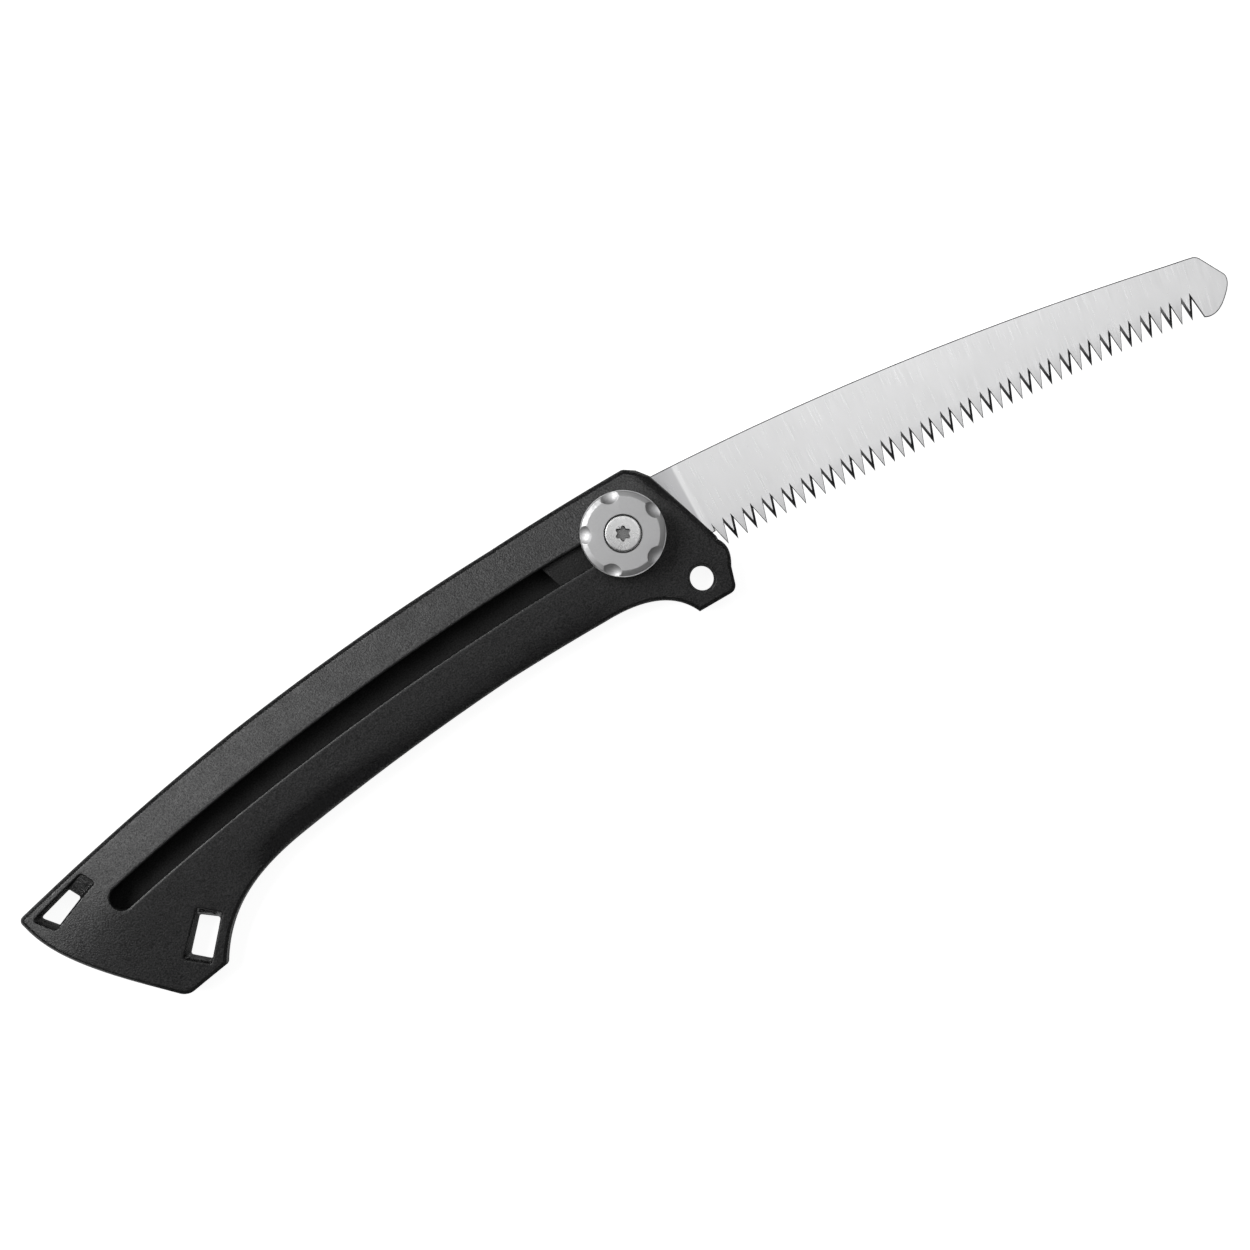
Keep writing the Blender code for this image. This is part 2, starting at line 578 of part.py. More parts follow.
def build():
    clear_scene()
    parts = collection("pruning_saw")
    cutters = collection("cutters")
    nylon = finish((0.022, 0.022, 0.024), 0.55, 0.0, "black_nylon")
    acetal = finish((0.012, 0.012, 0.013), 0.4, 0.0, "black_acetal")
    blade_steel = finish((0.78, 0.78, 0.79), 0.28, 1.0, "blade_steel")
    knob_metal = finish((0.42, 0.43, 0.44), 0.42, 1.0, "satin_zinc")
    bright_steel = finish((0.7, 0.7, 0.71), 0.25, 1.0, "bright_steel")
    screw_steel = finish((0.08, 0.08, 0.085), 0.4, 1.0, "blackened_steel")

    near_seat = CHANNEL_TOP - GAP - 1.6
    far_seat = CHANNEL_BOTTOM + GAP + 1.6
    shells = [near_shell(parts, cutters), far_shell(parts, cutters)]
    blade = saw_blade(parts, cutters)
    shoes = [slide_shoe("near_slide_shoe", BLADE_TOP + SHOE_GAP, CHANNEL_TOP - GAP, BUSH_RADIUS + GAP,
                        near_seat, parts, cutters),
             slide_shoe("far_slide_shoe", CHANNEL_BOTTOM + GAP, BLADE_BOTTOM - SHOE_GAP,
                        BUSH_FLANGE_RADIUS + GAP, far_seat, parts, cutters)]
    rivets = [shoe_rivet(side, place, far_seat, near_seat, parts) for side, place in RIVET_PLACES.items()]
    bush = threaded_bush(parts)
    washer = turned("knob_washer", ring_profile(SCREW_RADIUS + GAP, WASHER_RADIUS, WASHER_BOTTOM,
                    WASHER_BOTTOM + WASHER_THICKNESS), (0, 0), 40, parts, closed=True)
    wave = turned("wave_washer", ring_profile(SCREW_RADIUS + GAP, WAVE_RADIUS, KNOB_BOTTOM,
                  KNOB_BOTTOM + WAVE_THICKNESS), (0, 0), 32, parts, closed=True)
    knob = lock_knob(parts, cutters)
    screw = clamp_screw(parts, cutters)
    shell_screws = [shell_screw(i, place, parts) for i, place in enumerate(SCREW_PLACES, 1)]

    slide_axis = pivot("slide_axis", (0, -SLIDE_RADIUS * MM), parts)
    knob_axis = pivot("knob_axis", (0, 0), parts)
    carry(slide_axis, [blade, bush, *shoes, *rivets, knob_axis])
    carry(knob_axis, [washer, wave, knob, screw])

    finishes = [(shells, nylon), (shoes, acetal), ([blade], blade_steel), ([knob], knob_metal),
                ([screw, bush, washer, wave, *rivets], bright_steel), (shell_screws, screw_steel)]
    for pieces, material in finishes:
        for piece in pieces:
            piece.data.materials.append(material)


build()
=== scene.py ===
"""Looks of the retractable pruning saw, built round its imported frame.

A place in plan is written (s, h), in mm: s runs along the slide arc from the knob's axis towards
the blade's tip, and h outwards from the arc, towards the spine. The shells and the blade are
modelled straight, with x = s and y = h, and bend() lays them on the arc. MM turns mm into metres.
"""

import json
import math

import bmesh
import bpy
from mathutils import Matrix, Vector


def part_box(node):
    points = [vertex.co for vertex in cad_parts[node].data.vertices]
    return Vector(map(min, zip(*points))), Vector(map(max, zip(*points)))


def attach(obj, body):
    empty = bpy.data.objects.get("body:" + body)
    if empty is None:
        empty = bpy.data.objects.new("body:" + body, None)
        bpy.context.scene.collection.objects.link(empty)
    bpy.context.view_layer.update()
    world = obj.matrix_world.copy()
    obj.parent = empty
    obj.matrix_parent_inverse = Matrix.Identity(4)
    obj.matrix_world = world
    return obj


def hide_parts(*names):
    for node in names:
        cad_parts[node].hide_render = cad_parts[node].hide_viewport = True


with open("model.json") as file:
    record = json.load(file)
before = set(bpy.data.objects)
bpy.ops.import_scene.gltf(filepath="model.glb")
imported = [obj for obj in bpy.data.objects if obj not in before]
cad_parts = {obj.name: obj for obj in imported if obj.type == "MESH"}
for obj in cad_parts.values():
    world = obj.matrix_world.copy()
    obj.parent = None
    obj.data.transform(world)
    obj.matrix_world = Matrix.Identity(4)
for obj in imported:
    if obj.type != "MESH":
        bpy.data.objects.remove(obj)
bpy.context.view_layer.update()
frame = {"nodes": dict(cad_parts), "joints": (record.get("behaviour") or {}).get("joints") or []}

MM = 0.001


def extent(node):
    """Lowest and highest corner of a CAD node, in mm."""
    low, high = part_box(node)
    return Vector(low) / MM, Vector(high) / MM


# Sizes that the frame gives
SLIDE = next(j for j in frame["joints"] if j["name"] == "blade_slide")
SLIDE_RADIUS = -SLIDE["pos_m"][1] / MM
FACE = extent("near_shell")[1].z
NEAR_PART = extent("near_shell")[0].z
FAR_PART = extent("far_shell")[1].z
BLADE_LOW, BLADE_HIGH = (corner.z for corner in extent("saw_blade"))
KNOB_LOW, KNOB_HIGH = (corner.z for corner in extent("lock_knob"))
KNOB_RADIUS = extent("lock_knob")[1].x
SCREW_LOW, SCREW_HIGH = (corner.z for corner in extent("clamp_screw"))
SCREW_HEAD_RADIUS = extent("clamp_screw")[1].x
WASHER_LOW, WASHER_HIGH = (corner.z for corner in extent("knob_washer"))
WASHER_RADIUS = extent("knob_washer")[1].x

# Handle in plan, as in the CAD model, with finer curves
SPINE_REAR = (-124.4, 16.25)
GRIP_WAIST = (-50.0, -18.65)
GRIP_REAR = (-127.0, -19.4)
MOUTH_TOP = (14.9, 11.0)
MOUTH_FOOT = (23.6, -13.4)
GUARD_TIP = (8.6, -30.3)
POMMEL_TIP = (-169.2, -34.4)
BUTT_CORNER = (-205.1, 15.7)
LANYARD_CENTRE = (14.0, -22.1)
LANYARD_RADIUS = 3.6
SLOT_HALF_WIDTH = 3.5
SLOT_REAR = -178.6
WALL = 3.0
CHANNEL_TOP = FACE - WALL
CHANNEL = [(-169.5, 11.4), (-183.8, 4.4), (-199.1, 4.4), (-195.0, -10.6), (-191.6, -10.6),
           (-187.6, -12.6), (-161.0, -12.6), (-150.0, -17.4)]
MOUTH_WALL = 4.6
MOUTH_HALF_GAP = 1.5
MOUTH_OVERLAP = 0.3            # how far the mouth's slit runs into the channel
MOUTH_OVERRUN = 4.0            # and out past the handle
STRAP_SLOTS = {
    "upper": {"wide": [(-201.9, 12.5), (-182.9, 13.2), (-181.6, 8.7), (-198.8, 6.1)],
              "shoulder": [(-201.7, 12.2), (-188.7, 12.7), (-187.4, 8.2), (-198.7, 6.3)],
              "narrow": [(-201.5, 11.9), (-189.2, 12.4), (-187.9, 8.1), (-198.5, 6.4)]},
    "lower": {"wide": [(-177.7, -25.0), (-164.4, -16.5), (-159.7, -22.3), (-172.4, -31.4)],
              "shoulder": [(-176.9, -25.0), (-165.3, -17.4), (-160.6, -22.6), (-171.9, -30.9)],
              "narrow": [(-175.6, -25.2), (-165.8, -18.3), (-161.6, -22.8), (-171.5, -30.4)]},
}
STRAP_CORNER = 0.7
STRAP_SHOULDER = 2.4           # depth at which a strap slot's ramp meets its walls

# Edges and the near face's crown
SPINE_EDGE = (1.35, 1.2)       # width in plan, depth
GRIP_EDGE = (1.1, 1.0)
MOUTH_EDGE = (0.45, 0.45)
FAR_EDGE = (1.25, 1.5)
FAR_DRAFT = 0.35               # how far the far shell narrows from the parting plane to its back
EDGE_STEPS = 5
OUTLINE_EASE = 0.05            # keeps the finer curves inside the CAD model's
EDGE_SHAPE = 1.35              # 1 is a flat chamfer, 2 a quarter round
HOLE_EDGE = 0.45
HOLE_LAND = 0.28               # width of the gentle slope between a hole's edge and the face
RIM_TURN = 75.0                # degrees that a hole's edge turns before that slope
RIM_STEPS = 4
CUTTER_REACH = 1.2             # how far a hole's cutter runs on past the face, along that slope
LANYARD_EDGE = 0.25
LANYARD_FLARE = 0.5            # how much wider the lanyard hole gets
LANYARD_FLARE_DEPTH = 2.6      # over this depth
PARTING_EDGE = 0.2
UPPER_SLOPE = 0.165
LOWER_SLOPE = 0.115
CROWN_HALF_WIDTH = 4.0
BUTT_BLUNTING = 9.0            # how much wider the crown's soft top gets towards the butt
CROWN_FOOT = 9.0               # height below which the crown moves nothing
LOWER_ROLL = 0.026
LOWER_ROLL_START = -11.0
MOUTH_ROLL = 0.95
MOUTH_ROLL_WIDTH = 3.8
CELLS_FROM = (-206, -36)       # the near shell's cells, which let the crown bow it
CELLS_TO = (26, 17)
CELL_LENGTH = 4.0
CELL_WIDTH = 1.5
MOUTH_CELLS = 8
MOUTH_CELL_WIDTH = 0.6
BEND_CELLS = 29
BEND_CELL_LENGTH = 8

# Blade
TANG_TOP = [(-25.3, 3.8), (-8.5, 3.8)]
TANG_FOOT = [(-14.0, -12.0), (-18.0, -10.0), (-21.2, -10.0)]
BACK_AT_MOUTH = 10.9
BACK_AT_TIP = 7.9
TIP_CORNER = (190.3, 0.8)
BACK_START = 16.0
BACK_END = 176.0
BACK_POWER = 1.7
TOOTH_COUNT = 48
FIRST_TOOTH = 25.9
LAST_TOOTH = 177.6
TOOTH_PITCH = (LAST_TOOTH - FIRST_TOOTH) / (TOOTH_COUNT - 1)
TOOTH_DEPTH = 6.0
TOOTH_LINE = -17.1
TOOTH_LINE_RISE = 7.5
RISE_START = 85.0
RISE_POWER = 1.25
TOOTH_BEVEL = 0.72             # width of the facet filed on a tooth's flanks, on one side
TOOTH_EASE = 0.18              # and on the other side
BEVEL_DEPTH = 0.75             # depth of a facet for each mm of its width
TOOTH_SET = 0.25               # how far a point leans out of the blade's plane
BACK_EDGE = 0.28
GRIND_START = 21.6
GRIND_RAMP = 0.35              # length over which the grind reaches its depth
GRIND_DEPTH = 0.05
BUSH_HOLE_RADIUS = 5.3
RIVET_HOLE_RADIUS = 1.5

# Knob
SCALLOP_COUNT = 5
SCALLOP_RADIUS = 7.0
SCALLOP_REACH = 12.2
SCALLOP_LIFT = 6.2
SCALLOP_TURN = math.radians(8.7)
KNOB_EDGE = 1.8
KNOB_DROP = 0.35
HEAD_SEAT_RADIUS = 5.45
SEAT_EDGE = 0.2
RECESS_RADIUS = 2.15
RECESS_WAVE = 0.33             # half the depth of the notches between the recess's lobes
HEAD_EASE = 0.15               # how much smaller than the CAD model's the screw's head is

# Shell screws, which the frame places
SHELL_SCREWS = sorted(n for n in frame["nodes"] if n.startswith("shell_screw_"))
PILOT_RADIUS = 1.4
PILOT_TOP = CHANNEL_TOP + 0.3
SINK_RADIUS = 2.0
SINK_DEPTH = 1.9
CROSS_HALF = (1.1, 0.22)       # half length and half width of an arm of the cross recess
CROSS_TURN = math.radians(20)


# ---------------------------------------------------------------- plan geometry

def slide_xy(s, h):
    """Plan position, in metres, of the point (s, h) on the slide arc."""
    angle = s / SLIDE_RADIUS
    reach = SLIDE_RADIUS + h
    return reach * math.sin(angle) * MM, (reach * math.cos(angle) - SLIDE_RADIUS) * MM


def slide_sh(x, y):
    """(s, h), in mm, of a point given in metres."""
    across, out = x / MM, y / MM + SLIDE_RADIUS
    return math.atan2(across, out) * SLIDE_RADIUS, math.hypot(across, out) - SLIDE_RADIUS


def smooth(value, start, end):
    """0 before start, 1 past end, and a soft step between them."""
    t = min(1.0, max(0.0, (value - start) / (end - start)))
    return t * t * (3 - 2 * t)


def bezier(start, pull_start, pull_end, end, steps):
    """Points of a cubic curve, without its first point."""
    points = []
    for i in range(1, steps + 1):
        t = i / steps
        weights = ((1 - t) ** 3, 3 * t * (1 - t) ** 2, 3 * t * t * (1 - t), t ** 3)
        corners = (start, pull_start, pull_end, end)
        points.append(tuple(sum(w * c[axis] for w, c in zip(weights, corners)) for axis in (0, 1)))
    return points


def rounded(corner, before, after, radius, steps=6):
    """Points of the fillet at a corner between the points before and after it."""
    corner, before, after = Vector(corner), Vector(before), Vector(after)
    back = (before - corner).normalized()
    ahead = (after - corner).normalized()
    half = back.angle(ahead) / 2
    centre = corner + (back + ahead).normalized() * radius / math.sin(half)
    reach = radius / math.tan(half)
    start = corner + back * reach - centre
    sweep = start.angle_signed(corner + ahead * reach - centre)
    return [tuple(centre + Matrix.Rotation(-sweep * i / steps, 2) @ start) for i in range(steps + 1)]


def circle(centre, radius, steps=48):
    turns = [2 * math.pi * i / steps for i in range(steps)]
    return [(centre[0] + radius * math.cos(a), centre[1] + radius * math.sin(a)) for a in turns]


def inset(outline, widths):
    """A closed outline with each point moved inwards by its own width, mitred at corners."""
    count = len(outline)
    points = [Vector(p) for p in outline]
    area = sum(a.x * b.y - b.x * a.y for a, b in zip(points, points[1:] + points[:1]))
    side = 1 if area > 0 else -1
    moved = []
    for i, point in enumerate(points):
        before = (point - points[i - 1]).normalized()
        after = (points[(i + 1) % count] - point).normalized()
        normals = [side * Vector((-d.y, d.x)) for d in (before, after)]
        middle = (normals[0] + normals[1]).normalized()
        moved.append(tuple(point + middle * widths[i] / max(0.45, middle.dot(normals[0]))))
    return moved


def handle_outline():
    """Outer edge of both shells, from the butt along the spine and back along the grip."""
    spine = [(-195.0, 15.7), SPINE_REAR, (-75.7, 16.1), (-35.0, 15.85)]
    hump_foot = (12.2, 14.4)
    hump = rounded((8.9, 16.55), spine[-1], hump_foot, 2.2, 10) + [hump_foot]
    nose = bezier((23.6, -14.4), (25.5, -17.0), (25.3, -19.6), (23.3, -23.2), 18)
    front_foot = rounded((21.4, -30.0), nose[-1], GUARD_TIP, 2.8, 10)
    finger = bezier(GUARD_TIP, (5.0, -22.6), (-3.5, -19.0), (-17.0, -19.2), 30)
    sweep = bezier(GRIP_REAR, (-143.5, -19.6), (-157.5, -22.2), POMMEL_TIP, 30)
    pommel = rounded((-184.2, -33.75), POMMEL_TIP, (-187.6, -28.2), 4.9, 12)
    butt = bezier(pommel[-1], (-194.0, -18.4), (-204.9, -1.8), (-205.0, 12.6), 30)
    corner = rounded(BUTT_CORNER, butt[-1], spine[0], 1.7, 8)
    points = (spine + hump + [MOUTH_TOP, MOUTH_FOOT, (23.6, -14.4)] + nose + front_foot + [GUARD_TIP]
              + finger + [GRIP_WAIST, GRIP_REAR] + sweep + pommel + butt + corner)
    return inset(points, [OUTLINE_EASE] * len(points))


def mouth_line(h, inside=0.0):
    """s of the mouth's slanted edge at h, moved the given distance into the handle."""
    run = (MOUTH_FOOT[0] - MOUTH_TOP[0]) / (MOUTH_TOP[1] - MOUTH_FOOT[1])
    return MOUTH_TOP[0] + (MOUTH_TOP[1] - h) * run - inside * math.hypot(1, run)


def inside_mouth(s, h):
    """How far (s, h) lies behind the mouth's slanted edge."""
    run = (MOUTH_FOOT[0] - MOUTH_TOP[0]) / (MOUTH_TOP[1] - MOUTH_FOOT[1])
    return (mouth_line(h) - s) / math.hypot(1, run)


def channel_outline():
    upper, lower = CHANNEL[0][1], CHANNEL[-1][1]
    return [(mouth_line(upper, MOUTH_WALL), upper)] + CHANNEL + [(mouth_line(lower, MOUTH_WALL), lower)]


def mouth_outline():
    upper, lower = CHANNEL[0][1], CHANNEL[-1][1]
    inner, outer = MOUTH_WALL + MOUTH_OVERLAP, -MOUTH_OVERRUN
    return [(mouth_line(h, depth), h) for h, depth in
            ((upper, inner), (lower, inner), (lower, outer), (upper, outer))]


def slot_outline(grown=0.0):
    """Long slot with round ends, widened all round by grown."""
    radius = SLOT_HALF_WIDTH + grown
    half = [math.pi * i / 24 for i in range(25)]
    front = [(radius * math.sin(a), radius * math.cos(a)) for a in half]
    return front + [(SLOT_REAR - s, -h) for s, h in front]


def strap_outline(corners, grown=0.0):
    """Four-sided slot outline with rounded corners, widened all round by grown."""
    points = []
    for i, corner in enumerate(corners):
        points += rounded(corner, corners[i - 1], corners[(i + 1) % 4], STRAP_CORNER, 4)
    return inset(points, [-grown] * len(points))


def back_edge(s):
    share = max(0.0, (BACK_END - max(s, BACK_START)) / (BACK_END - BACK_START))
    return BACK_AT_TIP + (BACK_AT_MOUTH - BACK_AT_TIP) * share ** BACK_POWER


def tooth_line(s):
    share = max(0.0, (s - RISE_START) / (LAST_TOOTH - RISE_START))
    return TOOTH_LINE + TOOTH_LINE_RISE * share ** RISE_POWER


# ---------------------------------------------------------------- mesh helpers

def new_object(name, bm):
    mesh = bpy.data.meshes.new(name)
    bm.to_mesh(mesh)
    bm.free()
    piece = bpy.data.objects.new(name, mesh)
    bpy.context.scene.collection.objects.link(piece)
    return piece


def stack(name, rings):
    """Closed solid through rings of points, all with the same count, from one end to the other."""
    bm = bmesh.new()
    levels = [[bm.verts.new(point) for point in ring] for ring in rings]
    for below, above in zip(levels, levels[1:]):
        for i in range(len(below)):
            bm.faces.new((below[i - 1], below[i], above[i], above[i - 1]))
    bm.faces.new(levels[0])
    bm.faces.new(levels[-1])
    bmesh.ops.recalc_face_normals(bm, faces=bm.faces)
    return new_object(name, bm)


def prism(name, levels):
    """Closed solid through outlines at heights, given as (outline, height) pairs."""
    return stack(name, [[(s, h, z) for s, h in outline] for outline, z in levels])


def turned(name, profile, steps=96):
    """Closed solid turned about the Z axis. profile is (radius, height) pairs; radius 0 is on the axis."""
    bm = bmesh.new()
    rings = []
    for radius, z in profile:
        if radius == 0:
            rings.append([bm.verts.new((0, 0, z))])
        else:
            rings.append([bm.verts.new((x, y, z)) for x, y in circle((0, 0), radius, steps)])
    closed = len(rings[0]) > 1 and len(rings[-1]) > 1
    for below, above in zip(rings, rings[1:] + (rings[:1] if closed else [])):
        for i in range(steps):
            if len(below) > 1 and len(above) > 1:
                bm.faces.new((below[i - 1], below[i], above[i], above[i - 1]))
            elif len(below) > 1:
                bm.faces.new((below[i - 1], below[i], above[0]))
            else:
                bm.faces.new((below[0], above[i], above[i - 1]))
    bmesh.ops.recalc_face_normals(bm, faces=bm.faces)
    return new_object(name, bm)


def settle(piece):
    """Put a piece's modifiers into its mesh."""
    bpy.context.view_layer.update()
    ready = piece.evaluated_get(bpy.context.evaluated_depsgraph_get())
    mesh = bpy.data.meshes.new_from_object(ready)
    piece.modifiers.clear()
    piece.data = mesh


def carve(piece, cutters):
    """Cut solids out of a piece, and remove them."""
    for cutter in cutters:
        boolean = piece.modifiers.new(cutter.name, 'BOOLEAN')
        boolean.operation = 'DIFFERENCE'
        boolean.solver = 'EXACT'
        boolean.object = cutter
    settle(piece)
    for cutter in cutters:
        bpy.data.objects.remove(cutter, do_unlink=True)


def slice_cells(piece, planes):
    """Cut a mesh's faces along planes, given as (point, normal) pairs."""
    bm = bmesh.new()
    bm.from_mesh(piece.data)
    bmesh.ops.triangulate(bm, faces=bm.faces)
    for point, normal in planes:
        geometry = bm.verts[:] + bm.edges[:] + bm.faces[:]
        bmesh.ops.bisect_plane(bm, geom=geometry, dist=0.0005, plane_co=point, plane_no=normal)
    bm.to_mesh(piece.data)
    bm.free()


def bend(piece):
    """Lay a straight piece, in mm, on the slide arc, in metres."""
    for vertex in piece.data.vertices:
        s, h, z = vertex.co
        vertex.co = (*slide_xy(s, h), z * MM)


def shrink(piece):
    """Turn a piece modelled in mm into metres."""
    piece.data.transform(Matrix.Scale(MM, 4))


def soften(piece, angle=32):
    """Shade smooth, with sharp edges over the given angle and large faces kept flat."""
    piece.data.shade_smooth()
    piece.data.set_sharp_from_angle(angle=math.radians(angle))
    weighted = piece.modifiers.new("Normals", 'WEIGHTED_NORMAL')
    weighted.keep_sharp = True
    weighted.weight = 60


def plan_uv(piece):
    """UV map that holds (s, h) in metres, for grain that follows the arc."""
    layer = piece.data.uv_layers.new(name="plan")
    for loop in piece.data.loops:
        co = piece.data.vertices[loop.vertex_index].co
        layer.data[loop.index].uv = (co.x * MM, co.y * MM)


# ---------------------------------------------------------------- materials

RIM_SHEEN = 0.16               # how much less rough the rubbed rims are


def principled(name, colour, roughness, metallic, **sockets):
    """Material with a Principled shader; returns it with its nodes and links."""
    material = bpy.data.materials.new(name)
    material.use_nodes = True
    tree = material.node_tree
    shader = tree.nodes["Principled BSDF"]
    shader.inputs["Base Color"].default_value = (*colour, 1.0)
    shader.inputs["Roughness"].default_value = roughness
    shader.inputs["Metallic"].default_value = metallic
    for socket, value in sockets.items():
        shader.inputs[socket.replace("_", " ")].default_value = value
    return material, tree, shader


def grain(tree, vector, scale, detail=3.0, stretch=(1, 1, 1)):
    """Noise texture on a coordinate output; returns its value output."""
    mapping = tree.nodes.new("ShaderNodeMapping")
    mapping.inputs["Scale"].default_value = stretch
    tree.links.new(vector, mapping.inputs["Vector"])
    texture = tree.nodes.new("ShaderNodeTexNoise")
    texture.inputs["Scale"].default_value = scale
    texture.inputs["Detail"].default_value = detail
    tree.links.new(mapping.outputs["Vector"], texture.inputs["Vector"])
    return texture.outputs["Fac"]


def spread(tree, value, low, high, start=0.3, end=0.7):
    """Map a value from start..end to low..high."""
    node = tree.nodes.new("ShaderNodeMapRange")
    for socket, number in (("From Min", start), ("From Max", end), ("To Min", low), ("To Max", high)):
        node.inputs[socket].default_value = number
    tree.links.new(value, node.inputs["Value"])
    return node.outputs["Result"]


def blend_colours(tree, value, first, second):
    """Mix two colours, each a tuple or a colour output, by a value output."""
    node = tree.nodes.new("ShaderNodeMix")
    node.data_type = 'RGBA'
    for socket, colour in (("A", first), ("B", second)):
        if isinstance(colour, tuple):
            node.inputs[socket].default_value = (*colour, 1.0)
        else:
            tree.links.new(colour, node.inputs[socket])
    tree.links.new(value, node.inputs["Factor"])
    return next(o for o in node.outputs if o.type == 'RGBA')


def calculate(tree, operation, *values):
    """Math node on value outputs and plain numbers; returns its value output."""
    node = tree.nodes.new("ShaderNodeMath")
    node.operation = operation
    for socket, value in zip(node.inputs, values):
        if isinstance(value, float):
            socket.default_value = value
        else:
            tree.links.new(value, socket)
    return node.outputs["Value"]


def axis_of(tree, vector, axis):
    """One axis of a vector output."""
    node = tree.nodes.new("ShaderNodeSeparateXYZ")
    tree.links.new(vector, node.inputs["Vector"])
    return node.outputs[axis]


def bump(tree, shader, height, distance, strength, under=None):
    node = tree.nodes.new("ShaderNodeBump")
    node.inputs["Distance"].default_value = distance
    node.inputs["Strength"].default_value = strength
    tree.links.new(height, node.inputs["Height"])
    if under is not None:
        tree.links.new(under, node.inputs["Normal"])
    tree.links.new(node.outputs["Normal"], shader.inputs["Normal"])
    return node.outputs["Normal"]


def moulded_plastic(name, dark, light, roughness, specular):
    """Black plastic with a fine spark-eroded grain, rubbed smoother on rims and coarser on walls; its
    lighter flecks fade out on steep walls, which is painted shade.
    """
    material, tree, shader = principled(name, dark, roughness[0], 0.0)
    place = tree.nodes.new("ShaderNodeTexCoord").outputs["Object"]
    fine = grain(tree, place, 2300.0, 2.0)
    coarse = grain(tree, place, 140.0, 3.0)
    upward = axis_of(tree, tree.nodes.new("ShaderNodeNewGeometry").outputs["Normal"], "Z")
    # The grain's lighter flecks, faded out where the face turns steep: painted shade on the walls.
    speck_and_painted_wall_shade = calculate(tree, 'MULTIPLY',
                      spread(tree, fine, 0.0, 1.0), spread(tree, upward, 0.0, 1.0, 0.2, 0.9))
    tree.links.new(blend_colours(tree, speck_and_painted_wall_shade, dark, light), shader.inputs["Base Color"])
    wall = spread(tree, upward, 0.85, 0.0, 0.1, 0.6)
    rim = spread(tree, upward, 1.0, 0.0, 0.965, 0.98)
    rubbed = calculate(tree, 'MULTIPLY_ADD', rim, -RIM_SHEEN, spread(tree, coarse, *roughness))
    tree.links.new(calculate(tree, 'MAXIMUM', rubbed, wall), shader.inputs["Roughness"])
    tree.links.new(spread(tree, fine, 0.6 * specular, 1.4 * specular), shader.inputs["Specular IOR Level"])
    bump(tree, shader, fine, 0.00012, 0.9)
    return material


def ground_steel():
    """Blade steel: ground across the blade, duller on the unground tang, and painted dark on its steep
    bevels and edges, as a painted dark reflection.
    """
    material, tree, shader = principled("ground_steel", (0.8, 0.8, 0.81), 0.3, 1.0)
    plan = tree.nodes.new("ShaderNodeUVMap")
    plan.uv_map = "plan"
    plan = plan.outputs["UV"]
    lines = grain(tree, plan, 1.0, 2.0, stretch=(5200.0, 90.0, 1.0))
    cloud = grain(tree, plan, 55.0, 2.0)
    along = axis_of(tree, plan, "X")
    ground = spread(tree, along, 0.0, 1.0, (GRIND_START - 0.3) * MM, (GRIND_START + 0.3) * MM)
    bright = blend_colours(tree, spread(tree, cloud, 0.0, 1.0), (0.8, 0.8, 0.805), (0.83, 0.83, 0.835))
    steel = blend_colours(tree, ground, (0.56, 0.56, 0.57), bright)
    # Steep faces, such as the teeth's flanks, the eased back and the hole walls, are painted near-black: a
    # painted dark reflection.
    upward = axis_of(tree, tree.nodes.new("ShaderNodeNewGeometry").outputs["True Normal"], "Z")
    level = spread(tree, calculate(tree, 'ABSOLUTE', upward), 0.0, 1.0, 0.86, 0.93)
    tree.links.new(blend_colours(tree, level, (0.16, 0.16, 0.165), steel), shader.inputs["Base Color"])
    tree.links.new(spread(tree, lines, 0.27, 0.33), shader.inputs["Roughness"])
    bump(tree, shader, lines, 0.00001, 0.06)
    return material


def turned_metal(name, colour, roughness, ring_scale, ring_strength, top, groove, shade_tone):
    """Metal with fine turning rings round the knob's axis, and painted shade below its top within the
    groove.
    """
    material, tree, shader = principled(name, colour, roughness, 1.0)
    place = tree.nodes.new("ShaderNodeTexCoord").outputs["Object"]
    flat = tree.nodes.new("ShaderNodeVectorMath")
    flat.operation = 'MULTIPLY'
    flat.inputs[1].default_value = (1.0, 1.0, 0.0)
    tree.links.new(place, flat.inputs[0])
    reach = tree.nodes.new("ShaderNodeVectorMath")
    reach.operation = 'LENGTH'
    tree.links.new(flat.outputs["Vector"], reach.inputs[0])
    rings = tree.nodes.new("ShaderNodeTexNoise")
    rings.noise_dimensions = '1D'
    rings.inputs["Scale"].default_value = ring_scale
    rings.inputs["Detail"].default_value = 2.0
    tree.links.new(reach.outputs["Value"], rings.inputs["W"])
    fine = grain(tree, place, 1500.0, 2.0)
    tree.links.new(spread(tree, fine, roughness - 0.05, roughness + 0.07), shader.inputs["Roughness"])
    # Painted shade: darker below the top and inside the groove's radius, in the knob's seat and the screw's
    # recess.
    deep = spread(tree, axis_of(tree, place, "Z"), 1.0, 0.0, (top - 0.7) * MM, (top - 0.3) * MM)
    near = spread(tree, reach.outputs["Value"], 1.0, 0.0, groove * MM, (groove + 0.1) * MM)
    painted_hollow_shade = calculate(tree, 'MULTIPLY', deep, near)
    shaded_colour = tuple(shade_tone * channel for channel in colour)
    tree.links.new(blend_colours(tree, painted_hollow_shade, colour, shaded_colour), shader.inputs["Base Color"])
    under = bump(tree, shader, rings.outputs["Fac"], 0.00003, ring_strength)
    bump(tree, shader, fine, 0.00002, 0.06, under)
    return material


